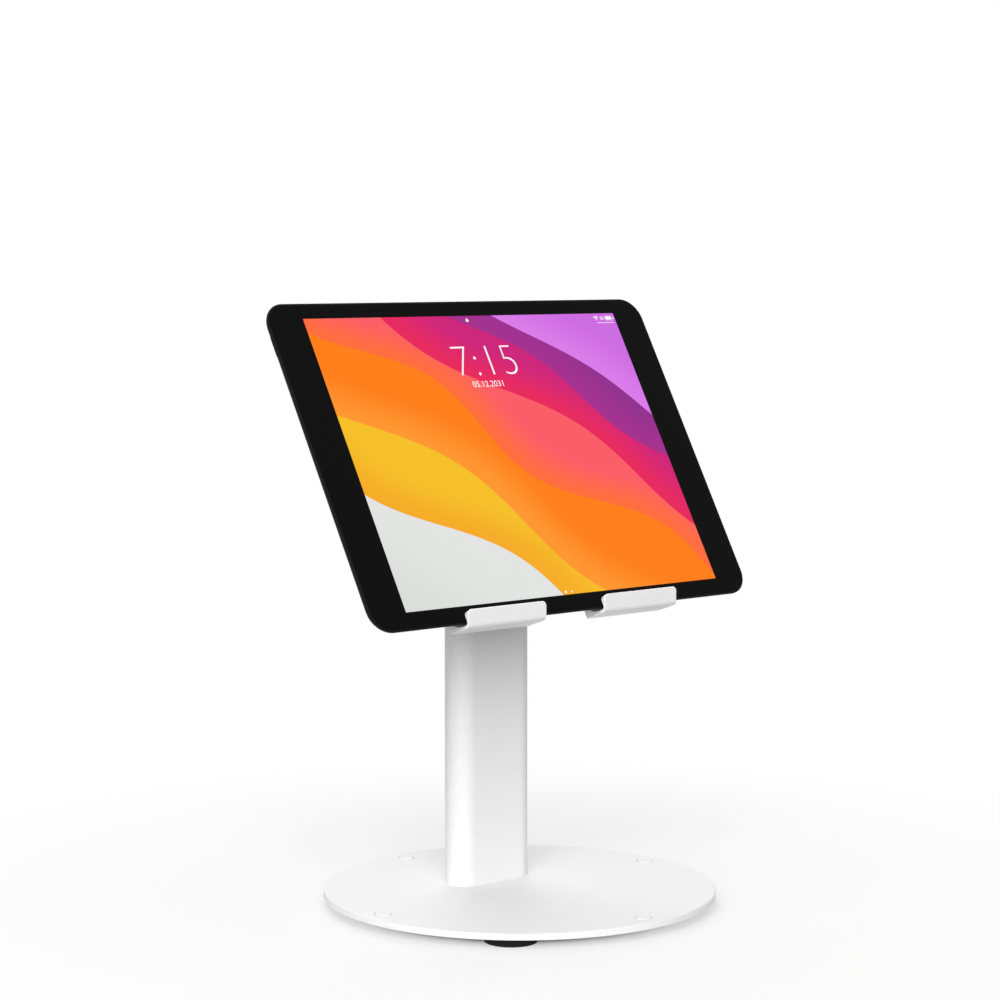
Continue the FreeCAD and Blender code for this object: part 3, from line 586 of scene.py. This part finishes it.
def figures(text, height, x, y, thinner=0.0):
    """Figures drawn flat as a mesh, with their lower left corner at x, y."""
    bpy.ops.object.select_all(action="DESELECT")
    bpy.ops.object.text_add(location=(0, 0, 0))
    piece = bpy.context.object
    piece.data.body = text
    piece.data.size = 1.0
    piece.data.offset = -thinner
    piece.data.resolution_u = 8
    bpy.ops.object.convert(target="MESH")
    piece = bpy.context.object
    corners = [vertex.co for vertex in piece.data.vertices]
    low_x = min(corner.x for corner in corners)
    low_y = min(corner.y for corner in corners)
    scale = height / (max(corner.y for corner in corners) - low_y)
    to_origin = Matrix.Translation((-low_x, -low_y, 0))
    to_place = Matrix.Translation((x, y, mark_level))
    piece.data.transform(to_place @ Matrix.Scale(scale, 4) @ to_origin)
    return piece


def disc(x, y, radius):
    """A flat round disc, centred on x, y."""
    bpy.ops.object.select_all(action="DESELECT")
    bpy.ops.mesh.primitive_circle_add(
        vertices=24, radius=radius, fill_type="NGON", location=(x, y, mark_level))
    piece = bpy.context.object
    settle(piece)
    return piece


def bar(x, y, width, height, corner):
    """A flat bar with rounded corners, centred on x, y."""
    bpy.ops.object.select_all(action="DESELECT")
    bpy.ops.mesh.primitive_plane_add(size=1.0, location=(x, y, mark_level))
    piece = bpy.context.object
    piece.scale = (width, height, 1)
    settle(piece)
    bpy.ops.object.mode_set(mode="EDIT")
    bpy.ops.mesh.select_all(action="SELECT")
    bpy.ops.mesh.bevel(offset=corner, segments=4, affect="VERTICES")
    close_edit()
    return piece


def outline_of(piece, line):
    """Leaves only an even line along a flat piece's edge."""
    work_on(piece)
    bpy.ops.object.mode_set(mode="EDIT")
    bpy.ops.mesh.select_all(action="SELECT")
    bpy.ops.mesh.inset(thickness=line)
    bpy.ops.mesh.delete(type="FACE")
    close_edit()
    return piece


def arc_band(x, y, inner, outer, first, last):
    """A flat piece of a ring round x, y, between two angles in degrees."""
    steps = 10
    mesh = bmesh.new()
    rows = []
    for step in range(steps + 1):
        angle = math.radians(first + (last - first) * step / steps)
        rows.append([
            mesh.verts.new((x + radius * math.cos(angle), y + radius * math.sin(angle), mark_level))
            for radius in (inner, outer)
        ])
    for near, far in zip(rows, rows[1:]):
        mesh.faces.new((near[0], near[1], far[1], far[0]))
    data = bpy.data.meshes.new("arc")
    mesh.to_mesh(data)
    mesh.free()
    piece = bpy.data.objects.new("arc", data)
    bpy.context.scene.collection.objects.link(piece)
    return piece


time_mark = figures("7:15", height=0.0165, x=-0.0181, y=0.0440, thinner=0.028)
join_marks("time_figures", [time_mark])
date_mark = figures("05.12.2031", height=0.0034, x=-0.0118, y=0.0374)
join_marks("date_figures", [date_mark])

padlock_y = 0.0752
join_marks("padlock_mark", [
    bar(0, padlock_y, width=0.0017, height=0.0014, corner=0.0003),
    arc_band(0, padlock_y + 0.0006, inner=0.00045, outer=0.0007, first=0, last=180),
])

state_y = 0.0751
fan_x = 0.0903
fan_y = state_y - 0.0012
join_marks("state_marks", [
    arc_band(fan_x, fan_y, inner=0.0020, outer=0.0025, first=45, last=135),
    arc_band(fan_x, fan_y, inner=0.0011, outer=0.0016, first=45, last=135),
    disc(fan_x, state_y - 0.0009, radius=0.0004),
    outline_of(bar(0.0996, state_y, width=0.0058, height=0.0027, corner=0.0007), line=0.0002),
    bar(0.0993, state_y, width=0.0042, height=0.0018, corner=0.0004),
    bar(0.1029, state_y, width=0.0005, height=0.0011, corner=0.0002),
    bar(0.0962, state_y - 0.0027, width=0.0120, height=0.0003, corner=0.0001),
])
charge_mark = figures("88", height=0.0019, x=0.0932, y=state_y - 0.00095)
join_marks("state_figures", [charge_mark])

join_marks("page_dots", [
    disc(-0.0012, -0.0765, radius=0.0007),
    disc(0.0028, -0.0766, radius=0.0005),
])


# Camera windows: a dark lens glass with a round pupil in the ring on the tablet's back, and the
# small window in the printed border that the front camera looks through.
lens_place = (-0.10615, 0.0678, -0.00795)
lens_radius = 0.004
lens_sides = 48
lens_thickness = 0.0002
lens_edge = 0.00006
lens_pupil = 0.0021
pupil_lean = 0.00015
pupil_depth = 0.00012
window_place = (-0.11565, 0.0, 0.00001)
window_radius = 0.0013
window_sides = 32
window_thickness = 0.00001
window_edge = 0.0004
window_rise = 0.000005


def lens_finish():
    """Coated black glass with a faint blue-violet tint that drifts over it."""
    material, nodes, links, shader = new_finish("lens_glass")
    shader.inputs["Roughness"].default_value = 0.08
    set_specular(material, 0.03)
    drift = cloudy(nodes, links, 300.0, 2.0)
    tint = two_tones(nodes, links, drift, (0.002, 0.002, 0.003), (0.004, 0.004, 0.008))
    links.new(tint, shader.inputs["Base Color"])
    return material


lens_glass = lens_finish()

bpy.ops.object.select_all(action="DESELECT")
bpy.ops.mesh.primitive_cylinder_add(
    vertices=lens_sides, radius=lens_radius, depth=lens_thickness, location=lens_place)
lens = bpy.context.object
lens.name = "rear_lens_glass"
settle(lens)
soften(lens, lens_edge, segments=2)
pick_faces(lens, facing=-1)
bpy.ops.mesh.inset(thickness=lens_radius - lens_edge - lens_pupil)
bpy.ops.mesh.inset(thickness=pupil_lean, depth=-pupil_depth)
close_edit()
shade_smooth()
lens.data.materials.append(lens_glass)
onto_glass(lens)

bpy.ops.object.select_all(action="DESELECT")
bpy.ops.mesh.primitive_cylinder_add(
    vertices=window_sides, radius=window_radius, depth=window_thickness, location=window_place)
window = bpy.context.object
window.name = "front_camera_window"
settle(window)
pick_faces(window, facing=1)
bpy.ops.mesh.inset(thickness=window_edge, depth=window_rise)
close_edit()
window.data.materials.append(lens_glass)
onto_glass(window)


# Stage: a white floor and white surroundings. Seen straight, or in metal or glass, the floor is
# mostly white, with part of the object's shadow kept. It throws more light back at the object
# from close to the base than from far off.
floor_size = 12.0
floor_tone = 0.94
glow_past_rim = (0.077, 0.09, 0.0, 0.5)
glow_far_off = (0.13, 0.42, 0.0, 0.5)
bounce_tone = (0.105, 0.15, 0.9, 0.28)
horizon_strength = 0.28
overhead_strength = 0.42


def looking_rays(nodes, links):
    """One for rays that look at something: the camera's own, mirrored ones, those through glass."""
    ray = nodes.new("ShaderNodeLightPath")
    total = ray.outputs["Is Camera Ray"]
    for kind in ("Is Glossy Ray", "Is Transmission Ray"):
        either = nodes.new("ShaderNodeMath")
        either.operation = "MAXIMUM"
        links.new(total, either.inputs[0])
        links.new(ray.outputs[kind], either.inputs[1])
        total = either.outputs["Value"]
    return total


def with_distance(nodes, links, distance, near, far, low, high):
    """A value that goes from low to high between two distances from the middle of the base."""
    node = nodes.new("ShaderNodeMapRange")
    node.interpolation_type = "SMOOTHSTEP"
    node.inputs["From Min"].default_value = near
    node.inputs["From Max"].default_value = far
    node.inputs["To Min"].default_value = low
    node.inputs["To Max"].default_value = high
    links.new(distance, node.inputs["Value"])
    return node.outputs["Result"]


def floor_paint():
    """Matt white paint that partly glows where it is looked at, and more so far off."""
    material, nodes, links, paint = new_finish("floor_white")
    paint.inputs["Roughness"].default_value = 1.0
    set_specular(material, 0.0)
    place = nodes.new("ShaderNodeTexCoord")
    length = nodes.new("ShaderNodeVectorMath")
    length.operation = "LENGTH"
    links.new(place.outputs["Object"], length.inputs[0])
    distance = length.outputs["Value"]
    share = nodes.new("ShaderNodeMath")
    share.operation = "ADD"
    links.new(with_distance(nodes, links, distance, *glow_past_rim), share.inputs[0])
    links.new(with_distance(nodes, links, distance, *glow_far_off), share.inputs[1])
    looked_at = looking_rays(nodes, links)
    seen = nodes.new("ShaderNodeMath")
    seen.operation = "MULTIPLY"
    links.new(looked_at, seen.inputs[0])
    links.new(share.outputs["Value"], seen.inputs[1])
    tone = nodes.new("ShaderNodeMix")
    tone.data_type = "RGBA"
    links.new(looked_at, tone.inputs["Factor"])
    links.new(with_distance(nodes, links, distance, *bounce_tone), tone.inputs["A"])
    tone.inputs["B"].default_value = (floor_tone, floor_tone, floor_tone, 1)
    links.new(tone.outputs["Result"], paint.inputs["Base Color"])
    glow = nodes.new("ShaderNodeEmission")
    glow.inputs["Color"].default_value = (1, 1, 1, 1)
    surface = nodes.new("ShaderNodeMixShader")
    links.new(seen.outputs["Value"], surface.inputs["Fac"])
    links.new(paint.outputs["BSDF"], surface.inputs[1])
    links.new(glow.outputs["Emission"], surface.inputs[2])
    links.new(surface.outputs["Shader"], nodes["Material Output"].inputs["Surface"])
    return material


bpy.ops.object.select_all(action="DESELECT")
bpy.ops.mesh.primitive_plane_add(size=floor_size, location=(0, 0, 0))
floor = bpy.context.object
floor.name = "floor"
floor.data.materials.append(floor_paint())

world = bpy.data.worlds.new("studio")
bpy.context.scene.world = world
world.use_nodes = True
nodes = world.node_tree.nodes
links = world.node_tree.links
dome = nodes["Background"]
dome.inputs["Color"].default_value = (1, 1, 1, 1)
sky = nodes.new("ShaderNodeTexCoord")
height = nodes.new("ShaderNodeSeparateXYZ")
links.new(sky.outputs["Generated"], height.inputs["Vector"])
strength = nodes.new("ShaderNodeMapRange")
strength.inputs["To Min"].default_value = horizon_strength
strength.inputs["To Max"].default_value = overhead_strength
links.new(height.outputs["Z"], strength.inputs["Value"])
links.new(strength.outputs["Result"], dome.inputs["Strength"])
backdrop = nodes.new("ShaderNodeBackground")
backdrop.inputs["Color"].default_value = (1, 1, 1, 1)
mix = nodes.new("ShaderNodeMixShader")
links.new(looking_rays(nodes, links), mix.inputs["Fac"])
links.new(dome.outputs["Background"], mix.inputs[1])
links.new(backdrop.outputs["Background"], mix.inputs[2])
links.new(mix.outputs["Shader"], nodes["World Output"].inputs["Surface"])


# Lamps: three round soft lights, far enough off that the light is even over the whole stand.
# The strongest stands near the camera, a weak one hangs overhead and one shines from behind.
lamp_distance = 3.2
lamp_aim = Vector((0, 0, 0.12))


def soft_lamp(name, azimuth, elevation, size, energy):
    """A round light that faces the stand; its azimuth is counted from the front, in degrees."""
    data = bpy.data.lights.new(name, "AREA")
    data.shape = "DISK"
    data.size = size
    data.energy = energy
    light = bpy.data.objects.new(name, data)
    bpy.context.scene.collection.objects.link(light)
    azimuth = math.radians(azimuth)
    elevation = math.radians(elevation)
    way = Vector((
        math.sin(azimuth) * math.cos(elevation),
        -math.cos(azimuth) * math.cos(elevation),
        math.sin(elevation),
    ))
    light.location = way * lamp_distance + lamp_aim
    light.rotation_euler = way.to_track_quat("Z", "Y").to_euler()


soft_lamp("key_lamp", azimuth=-47, elevation=26, size=2.8, energy=96.0)
soft_lamp("top_lamp", azimuth=-100, elevation=84, size=4.2, energy=6.0)
soft_lamp("back_lamp", azimuth=150, elevation=50, size=2.8, energy=34.0)

bpy.context.scene.view_settings.view_transform = "Standard"
